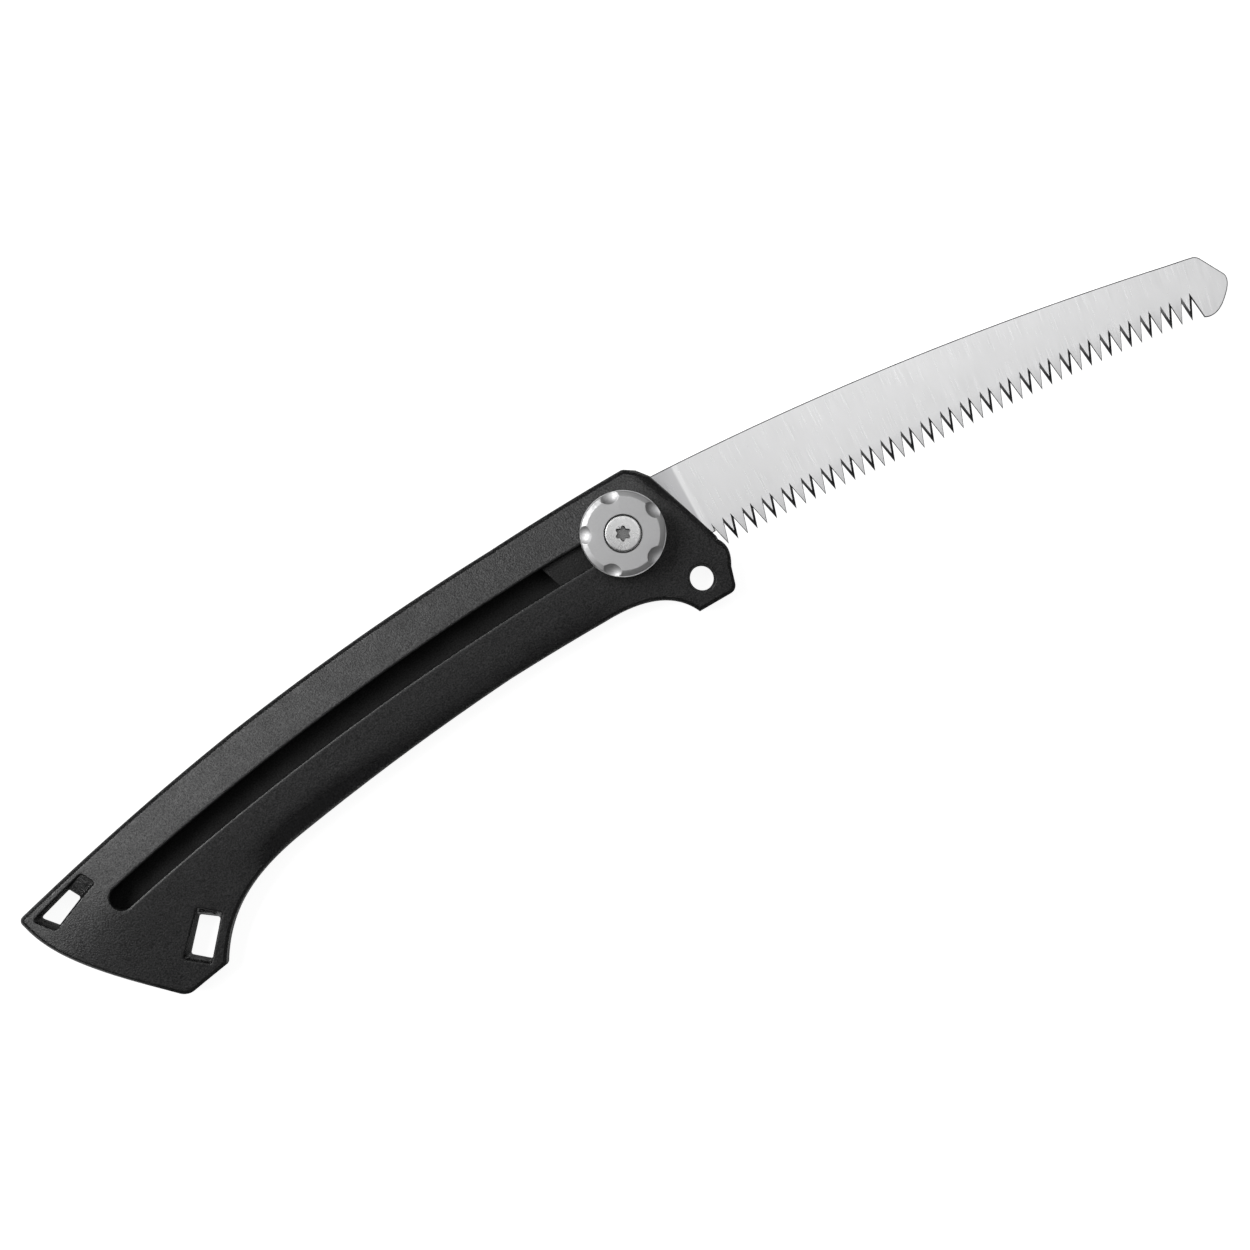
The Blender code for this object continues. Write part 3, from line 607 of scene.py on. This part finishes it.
def plain_metal(name, colour, roughness):
    """Small steel parts, with a fine uneven plating."""
    material, tree, shader = principled(name, colour, roughness, 1.0)
    place = tree.nodes.new("ShaderNodeTexCoord").outputs["Object"]
    fine = grain(tree, place, 1800.0, 3.0)
    tree.links.new(spread(tree, fine, roughness - 0.06, roughness + 0.1), shader.inputs["Roughness"])
    bump(tree, shader, fine, 0.00002, 0.15)
    return material


def dress(piece, material, body, slot, *nodes):
    """Give a piece its material and body, and let it stand for CAD nodes, which it hides; slot is not used.
    """
    piece.data.materials.clear()
    piece.data.materials.append(material)
    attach(piece, body)
    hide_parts(*nodes)


# ---------------------------------------------------------------- shells

def edge_size(s, h):
    """Width and depth of the near shell's outer edge rounding at a point of its outline."""
    if s > MOUTH_TOP[0] - 0.1 and MOUTH_FOOT[1] - 0.1 <= h <= MOUTH_TOP[1] + 0.1:
        return MOUTH_EDGE
    share = smooth(h, 0.0, 12.0)
    return tuple(a + (b - a) * share for a, b in zip(GRIP_EDGE, SPINE_EDGE))


def rim_levels(outline, sizes, face, inwards, shape):
    """Levels of a rounded rim up to a face; inwards is +1 for a top face, -1 for a bottom one."""
    levels = []
    for i in range(EDGE_STEPS + 1):
        turn = math.pi / 2 * i / EDGE_STEPS
        across, down = 1 - math.cos(turn) ** (2 / shape), 1 - math.sin(turn) ** (2 / shape)
        ring = inset(outline, [width * across for width, _ in sizes])
        levels.append([(s, h, face - inwards * depth * down) for (s, h), (_, depth) in zip(ring, sizes)])
    return levels


def mouth_levels(outline_at, face, up, radius, land=0.0):
    """Levels of a hole's rounded edge, from its wall out through a face that looks up (1) or down (-1).

    land is the width of the gentle slope between the rounding and the face.
    """
    sunk = land * math.tan(math.radians(90 - RIM_TURN))
    levels = []
    for step in range(RIM_STEPS + 1):
        turn = math.radians(RIM_TURN) * step / RIM_STEPS
        levels.append((radius * (1 - math.cos(turn)), sunk + radius * (1 - math.sin(turn))))
    wide, deep = levels[-1]
    levels.append((wide + CUTTER_REACH * math.sin(turn), deep - CUTTER_REACH * math.cos(turn)))
    return [(outline_at(wide), face - up * deep) for wide, deep in levels]


def shell_holes(name, low, high, face_is_top):
    """Cutters that both shells share."""
    face, up, inner = (high, 1, low - 1) if face_is_top else (low, -1, high + 1)
    mouth = LANYARD_RADIUS + LANYARD_FLARE
    lanyard = [(circle(LANYARD_CENTRE, LANYARD_RADIUS), inner),
               (circle(LANYARD_CENTRE, LANYARD_RADIUS), face - up * LANYARD_FLARE_DEPTH)]
    lanyard += mouth_levels(lambda grown: circle(LANYARD_CENTRE, mouth + grown), face, up, LANYARD_EDGE)
    cutters = [prism(name + "_channel", [(channel_outline(), WALL), (channel_outline(), CHANNEL_TOP)]),
               prism(name + "_mouth", [(mouth_outline(), FACE / 2 - MOUTH_HALF_GAP),
                                       (mouth_outline(), FACE / 2 + MOUTH_HALF_GAP)]),
               prism(name + "_lanyard", lanyard)]
    for side, plan in STRAP_SLOTS.items():
        parting = low - 0.01 if face_is_top else high + 0.01
        wide = mouth_levels(lambda grown, corners=plan["wide"]: strap_outline(corners, grown), face, up,
                            HOLE_EDGE, HOLE_LAND / 2)
        levels = [(strap_outline(plan["narrow"]), parting),
                  (strap_outline(plan["shoulder"]), face - up * STRAP_SHOULDER)]
        cutters.append(prism(f"{name}_{side}_strap", levels + wide))
    return cutters


def crown_drop(s, h):
    """How far the near face falls below its highest line at (s, h)."""
    slope = UPPER_SLOPE if h > 0 else LOWER_SLOPE
    blunt = CROWN_HALF_WIDTH + BUTT_BLUNTING * smooth(-s, 174.0, 200.0)
    drop = slope * (math.hypot(h, blunt) - blunt)
    rolled = smooth(s, -150.0, -128.0) * (1 - 0.55 * smooth(s, -120.0, -85.0)) * (1 - smooth(s, -26.0, -4.0))
    drop += LOWER_ROLL * rolled * max(0.0, LOWER_ROLL_START - h) ** 2
    beside = max(0.0, MOUTH_ROLL_WIDTH - max(inside_mouth(s, h), -0.8)) / MOUTH_ROLL_WIDTH
    drop += MOUTH_ROLL * beside ** 2 * smooth(h, -22.0, -15.0)
    return drop


def crown(piece):
    """Bow the near face, and leave the channel's roof where it is."""
    for vertex in piece.data.vertices:
        s, h, z = vertex.co
        if z > CROWN_FOOT and abs(z - CHANNEL_TOP) > 0.01:
            vertex.co.z = z - crown_drop(s, h) * (z - CROWN_FOOT) / (FACE - CROWN_FOOT)


def node_centre(node):
    """Plan position, in metres, of the middle of a CAD node."""
    low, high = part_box(node)
    return (low.x + high.x) / 2, (low.y + high.y) / 2


def screw_place(node):
    """(s, h) of a shell screw's axis."""
    return slide_sh(*node_centre(node))


def near_shell(material):
    outline = handle_outline()
    count = len(outline)
    foot = inset(outline, [PARTING_EDGE] * count)
    rings = [[(s, h, NEAR_PART) for s, h in foot], [(s, h, NEAR_PART + PARTING_EDGE) for s, h in outline]]
    rings += rim_levels(outline, [edge_size(s, h) for s, h in outline], FACE, 1, EDGE_SHAPE)
    shell = stack("near_shell_detail", rings)
    slot_levels = [(slot_outline(), CHANNEL_TOP - 1)]
    slot_levels += mouth_levels(slot_outline, FACE, 1, HOLE_EDGE, HOLE_LAND)
    cutters = shell_holes("near", NEAR_PART, FACE, True) + [prism("near_slot", slot_levels)]
    for node in SHELL_SCREWS:
        pilot = circle(screw_place(node), PILOT_RADIUS, 16)
        cutters.append(prism(node + "_pilot", [(pilot, 0), (pilot, PILOT_TOP)]))
    carve(shell, cutters)
    (left, foot_line), (right, top_line) = CELLS_FROM, CELLS_TO
    planes = [(Vector((left + CELL_LENGTH * i, 0, 0)), Vector((1, 0, 0)))
              for i in range(int((right - left) / CELL_LENGTH) + 1)]
    planes += [(Vector((0, foot_line + CELL_WIDTH * i, 0)), Vector((0, 1, 0)))
               for i in range(int((top_line - foot_line) / CELL_WIDTH) + 1)]
    slant = Vector((MOUTH_TOP[1] - MOUTH_FOOT[1], MOUTH_FOOT[0] - MOUTH_TOP[0], 0)).normalized()
    planes += [(Vector((*MOUTH_TOP, 0)) - slant * MOUTH_CELL_WIDTH * i, slant)
               for i in range(1, MOUTH_CELLS + 1)]
    slice_cells(shell, planes)
    crown(shell)
    bend(shell)
    soften(shell)
    dress(shell, material, "handle", "handle_nylon", "near_shell")


def far_shell(material):
    outline = handle_outline()
    count = len(outline)
    foot = inset(outline, [PARTING_EDGE] * count)
    back = inset(outline, [FAR_DRAFT] * count)
    rings = rim_levels(back, [FAR_EDGE] * count, 0.0, -1, 2.0)[::-1]
    rings += [[(s, h, FAR_PART - PARTING_EDGE) for s, h in outline], [(s, h, FAR_PART) for s, h in foot]]
    shell = stack("far_shell_detail", rings)
    cutters = shell_holes("far", 0.0, FAR_PART, False)
    for node in SHELL_SCREWS:
        levels = [(circle(screw_place(node), radius, 32), z) for radius, z in
                  ((SINK_RADIUS + 1.3, -1), (SINK_RADIUS, 0.3), (SINK_RADIUS, SINK_DEPTH),
                   (PILOT_RADIUS, SINK_DEPTH + 0.01), (PILOT_RADIUS, FACE))]
        cutters.append(prism(node + "_hole", levels))
    carve(shell, cutters)
    slice_cells(shell, [(Vector((CELLS_FROM[0] + BEND_CELL_LENGTH * i, 0, 0)), Vector((1, 0, 0)))
                        for i in range(BEND_CELLS)])
    bend(shell)
    soften(shell)
    dress(shell, material, "handle", "handle_nylon", "far_shell")


# ---------------------------------------------------------------- blade

def blade_body_outline():
    """Blade without its teeth: tang, back, tip and the line of the gullets, clockwise."""
    tang_top = TANG_TOP + [(5.0, BACK_AT_MOUTH)]
    steps, start = 40, BACK_START - 5.0
    back = [(s, back_edge(s)) for s in (start + (BACK_END - start) * i / steps for i in range(steps + 1))]
    tip = ([(180.4, 8.0)] + rounded((184.0, 8.0), (180.4, 8.0), TIP_CORNER, 3.0, 12) + [TIP_CORNER]
           + bezier(TIP_CORNER, (191.6, -1.2), (190.0, -4.2), (187.4, -7.4), 16)
           + bezier((187.4, -7.4), (185.6, -9.4), (183.4, -10.4), (181.2, -9.7), 10))
    gullets = [(s, tooth_line(s) + TOOTH_DEPTH) for s in
               (LAST_TOOTH + TOOTH_PITCH * (0.5 - i) for i in range(TOOTH_COUNT + 1))]
    foot = [(FIRST_TOOTH - TOOTH_PITCH / 2, TANG_FOOT[0][1])] + TANG_FOOT
    return tang_top + back + tip, gullets, foot


def blade_outline():
    """Blade's outline with its teeth, and for each of its edges the tooth it flanks, or None."""
    upper, gullets, foot = blade_body_outline()
    points, teeth = list(upper), [None] * len(upper)
    for number, (front, rear) in enumerate(zip(gullets, gullets[1:])):
        s = (front[0] + rear[0]) / 2
        points += [front, (s, tooth_line(s))]
        teeth += [number, number]
    points += [gullets[-1]] + foot
    teeth += [None] * (len(foot) + 1)
    return points, teeth


def inset_edges(outline, widths):
    """A closed clockwise outline with each edge moved inwards by its own width."""
    moved = []
    for i, point in enumerate(outline):
        point = Vector(point)
        before = (point - Vector(outline[i - 1])).normalized()
        after = (Vector(outline[(i + 1) % len(outline)]) - point).normalized()
        first, second = Vector((before.y, -before.x)), Vector((after.y, -after.x))
        turn = first.cross(second)
        if abs(turn) < 0.02:
            moved.append(tuple(point + first * (widths[i - 1] + widths[i]) / 2))
        else:
            x = (widths[i - 1] * second.y - widths[i] * first.y) / turn
            y = (widths[i] * first.x - widths[i - 1] * second.x) / turn
            moved.append((point.x + x, point.y + y))
    return moved


def saw_blade(material):
    """Blade with an eased back, ground faces, and teeth filed and set to alternate sides."""
    outline, teeth = blade_outline()
    count = len(outline)
    rings = []
    for side, z, up in ((0, BLADE_LOW, 1), (1, BLADE_HIGH, -1)):
        filed = [BACK_EDGE if tooth is None else TOOTH_BEVEL if tooth % 2 != side else TOOTH_EASE
                 for tooth in teeth]
        face = inset_edges(outline, filed)
        deep = [(filed[i - 1] + filed[i]) / 2 * BEVEL_DEPTH for i in range(count)]
        ring_pair = [[(s, h, z) for s, h in face], [(s, h, z + up * d) for (s, h), d in zip(outline, deep)]]
        rings += ring_pair if side == 0 else ring_pair[::-1]
    bm = bmesh.new()
    levels = [[bm.verts.new(point) for point in ring] for ring in rings]
    for below, above in zip(levels, levels[1:]):
        for i in range(count):
            bm.faces.new((below[i - 1], below[i], above[i], above[i - 1]))
    first = teeth.index(0)
    for level in (levels[0], levels[-1]):
        body = bm.faces.new(level)
        for gullet in range(first, first + 2 * TOOTH_COUNT, 2):
            part, _ = bmesh.utils.face_split(body, level[gullet], level[gullet + 2])
            body = max(body, part, key=lambda face: len(face.verts))
    for level in levels:
        for number in range(TOOTH_COUNT):
            point = level[first + 2 * number + 1]
            base = outline[first + 2 * number][1]
            reach = (base - point.co.y) / TOOTH_DEPTH
            point.co.z += (-TOOTH_SET if number % 2 else TOOTH_SET) * reach
    bmesh.ops.recalc_face_normals(bm, faces=bm.faces)
    blade = new_object("saw_blade_detail", bm)
    holes = [circle((0, 0), BUSH_HOLE_RADIUS)]
    holes += [circle(slide_sh(*node_centre(node)), RIVET_HOLE_RADIUS)
              for node in ("shoe_rivet_rear", "shoe_rivet_front")]
    carve(blade, [prism(f"blade_hole_{i}", [(hole, BLADE_LOW - 1), (hole, BLADE_HIGH + 1)])
                  for i, hole in enumerate(holes)])
    slice_cells(blade, [(Vector((s, 0, 0)), Vector((1, 0, 0)))
                        for s in (GRIND_START, GRIND_START + GRIND_RAMP)])
    middle = (BLADE_LOW + BLADE_HIGH) / 2
    for vertex in blade.data.vertices:
        if vertex.co.x > GRIND_START + GRIND_RAMP / 2:
            side = vertex.co.z - middle
            vertex.co.z -= math.copysign(min(GRIND_DEPTH, abs(side)), side)
    plan_uv(blade)
    bend(blade)
    blade.data.shade_smooth()
    blade.data.set_sharp_from_angle(angle=math.radians(9))
    dress(blade, material, "blade_carriage", "blade_steel", "saw_blade")


# ---------------------------------------------------------------- knob, screws and washers

def quarter(centre, radius, start, end, steps=6):
    """Arc points of a turned profile, from one angle to another, in degrees."""
    turns = [math.radians(start + (end - start) * i / steps) for i in range(steps + 1)]
    return [(centre[0] + radius * math.cos(a), centre[1] + radius * math.sin(a)) for a in turns]


def lock_knob(material):
    """Ring knob with a sloping rim, five scooped grips and a sunk seat for the screw's head."""
    head_seat, wave_room, wave_radius, bore = 21.5, 17.4, 6.3, 3.3
    rim = [(KNOB_RADIUS - KNOB_EDGE - 0.15, KNOB_HIGH), (KNOB_RADIUS - KNOB_EDGE + 0.15, KNOB_HIGH - 0.04)]
    rim += quarter((KNOB_RADIUS - 0.65, KNOB_HIGH - KNOB_DROP - 0.65), 0.65, 76, 0, 6)
    profile = ([(HEAD_SEAT_RADIUS, KNOB_HIGH - SEAT_EDGE), (HEAD_SEAT_RADIUS + SEAT_EDGE, KNOB_HIGH)] + rim
               + quarter((KNOB_RADIUS - 0.8, KNOB_LOW + 0.8), 0.8, 0, -90, 4)
               + [(wave_radius, KNOB_LOW), (wave_radius, wave_room), (bore, wave_room), (bore, head_seat),
                  (HEAD_SEAT_RADIUS, head_seat)])
    knob = turned("lock_knob_detail", profile, 160)
    cutters = []
    for i in range(SCALLOP_COUNT):
        turn = SCALLOP_TURN + 2 * math.pi * i / SCALLOP_COUNT
        bm = bmesh.new()
        bmesh.ops.create_uvsphere(bm, u_segments=96, v_segments=96, radius=SCALLOP_RADIUS)
        place = (SCALLOP_REACH * math.cos(turn), SCALLOP_REACH * math.sin(turn), KNOB_HIGH + SCALLOP_LIFT)
        bmesh.ops.translate(bm, verts=bm.verts, vec=place)
        cutters.append(new_object(f"scallop_{i + 1}", bm))
    carve(knob, cutters)
    shrink(knob)
    soften(knob, 30)
    dress(knob, material, "knob", "knob_metal", "lock_knob")


def clamp_screw(material):
    """Pan-head screw with a domed face, rounded rim and plain six-lobe recess."""
    radius, top = SCREW_HEAD_RADIUS - HEAD_EASE, SCREW_HIGH
    profile = ([(0, top)] + [(r, top - 0.06 * (r / radius) ** 2) for r in (1.2, 2.4, 3.6, 4.6)]
               + quarter((radius - 0.3, top - 0.36), 0.3, 84, 0, 6)
               + [(radius, 21.8), (3.0, 21.8), (3.0, SCREW_LOW + 0.6), (2.4, SCREW_LOW), (0, SCREW_LOW)])
    screw = turned("clamp_screw_detail", profile, 96)
    turns = [2 * math.pi * i / 72 for i in range(72)]
    reaches = [RECESS_RADIUS - RECESS_WAVE * (1 - math.cos(6 * a)) for a in turns]
    lobes = [(r * math.cos(a), r * math.sin(a)) for a, r in zip(turns, reaches)]
    carve(screw, [prism("recess", [([(grown * x, grown * y) for x, y in lobes], top + rise)
                                   for grown, rise in ((0.9, -1.7), (1.0, -0.2), (1.6, 1.0))])])
    shrink(screw)
    soften(screw, 30)
    dress(screw, material, "knob", "bright_steel", "clamp_screw")


def knob_washer(material):
    """Washer under the knob, with eased edges."""
    ease = 0.2
    profile = [(3.3, WASHER_HIGH), (WASHER_RADIUS - ease, WASHER_HIGH), (WASHER_RADIUS, WASHER_HIGH - ease),
               (WASHER_RADIUS, WASHER_LOW + ease), (WASHER_RADIUS - ease, WASHER_LOW), (3.3, WASHER_LOW)]
    washer = turned("knob_washer_detail", profile, 128)
    shrink(washer)
    soften(washer, 30)
    dress(washer, material, "knob_washers", "bright_steel", "knob_washer")


def shell_screws(material):
    """Countersunk heads with a cross recess, seen in the far shell, on plain shanks."""
    for node in SHELL_SCREWS:
        low, high = extent(node)
        middle = (low + high) / 2
        profile = [(0, low.z), (1.3, low.z)] + quarter((1.4, low.z + 0.3), 0.3, -90, 0, 4) + [
            (1.7, low.z + 1.2), (1.1, low.z + 1.5), (1.1, high.z - 1.4), (0.44, high.z), (0, high.z)]
        screw = turned(node + "_detail", profile, 40)
        arms = []
        for turn in (0, math.pi / 2):
            spin = Matrix.Rotation(turn + CROSS_TURN, 2)
            length, width = CROSS_HALF
            corners = [tuple(spin @ Vector(corner)) for corner in
                       ((-length, -width), (length, -width), (length, width), (-length, width))]
            short = [(x * 0.5, y * 0.8) for x, y in corners]
            arms.append(prism(node + f"_arm_{len(arms)}", [(corners, low.z - 0.5), (corners, low.z),
                                                          (short, low.z + 1.0)]))
        carve(screw, arms)
        screw.data.transform(Matrix.Translation((middle.x, middle.y, 0)))
        shrink(screw)
        soften(screw, 30)
        dress(screw, material, "handle", "screw_steel", node)


# ---------------------------------------------------------------- the rest of the picture

def aim(item, target):
    """Turn a light towards a point."""
    item.rotation_euler = (Vector(target) - item.location).to_track_quat('-Z', 'Y').to_euler()


def softbox(name, place, target, size, power):
    light = bpy.data.lights.new(name, 'AREA')
    light.shape = 'RECTANGLE'
    light.size, light.size_y = size
    light.energy = power
    item = bpy.data.objects.new(name, light)
    item.location = place
    bpy.context.scene.collection.objects.link(item)
    aim(item, target)


def studio():
    world = bpy.data.worlds.new("studio")
    bpy.context.scene.world = world
    world.use_nodes = True
    sky = world.node_tree.nodes["Background"]
    sky.inputs["Color"].default_value = (1.0, 1.0, 1.0, 1.0)
    sky.inputs["Strength"].default_value = 0.06
    softbox("key", (-0.58, 0.58, 1.3), (-0.12, 0.0, 0.0), (0.9, 0.6), 11.1)
    softbox("overhead", (0.37, 0.16, 1.45), (0.37, 0.16, 0.0), (0.8, 0.54), 1.82)
    bm = bmesh.new()
    bmesh.ops.create_grid(bm, x_segments=2, y_segments=2, size=4.0)
    floor = new_object("floor", bm)
    floor.location.z = -0.0002
    white = principled("floor_white", (0.5, 0.5, 0.5), 0.8, 0.0,
                       Emission_Color=(1.0, 1.0, 1.0, 1.0), Emission_Strength=0.92)[0]
    floor.data.materials.append(white)


def camera():
    """Straight above, turned so that the blade points to the upper right."""
    above, width = 1.0, 0.3625
    lens = bpy.data.cameras.new("camera")
    lens.sensor_width = 36.0
    lens.lens = 36.0 * above / width
    item = bpy.data.objects.new("camera", lens)
    item.location = (-0.01248, -0.02293, above + FACE / 2 * MM)
    item.rotation_euler = (0, 0, math.radians(-29.82))
    bpy.context.scene.collection.objects.link(item)
    bpy.context.scene.camera = item
    bpy.context.scene.view_settings.view_transform = 'Standard'


nylon = moulded_plastic("moulded_nylon", (0.006, 0.006, 0.0065), (0.024, 0.024, 0.0245), (0.37, 0.44), 0.6)
# A darker, duller copy of the same nylon for the far shell: painted shade, so that the channel floor seen
# through the slot reads shadowed; the far shell's outer sides get it too.
nylon_with_painted_shade = moulded_plastic("moulded_nylon_back", (0.006, 0.006, 0.006), (0.011, 0.011, 0.011),
                              (0.5, 0.6), 0.3)
acetal = moulded_plastic("moulded_acetal", (0.006, 0.006, 0.006), (0.009, 0.009, 0.009), (0.4, 0.5), 0.35)
# The last number sets how dark the painted shade in the knob's seat and the screw's recess is.
zinc = turned_metal("satin_zinc", (0.58, 0.58, 0.585), 0.46, 5200.0, 0.25, KNOB_HIGH, HEAD_SEAT_RADIUS, 0.08)
plated = turned_metal("plated_steel", (0.74, 0.74, 0.74), 0.3, 9000.0, 0.1, SCREW_HIGH, 2.6, 0.3)
bright = plain_metal("bright_steel", (0.6, 0.6, 0.61), 0.32)
blackened = plain_metal("blackened_steel", (0.08, 0.08, 0.085), 0.38)

near_shell(nylon)
far_shell(nylon_with_painted_shade)
saw_blade(ground_steel())
lock_knob(zinc)
clamp_screw(plated)
knob_washer(bright)
shell_screws(blackened)
for node, finish in (("near_slide_shoe", acetal), ("far_slide_shoe", acetal), ("threaded_bush", bright),
                     ("wave_washer", bright), ("shoe_rivet_rear", bright), ("shoe_rivet_front", bright)):
    piece = frame["nodes"][node]
    for place in piece.material_slots:
        place.material = finish

camera()
studio()
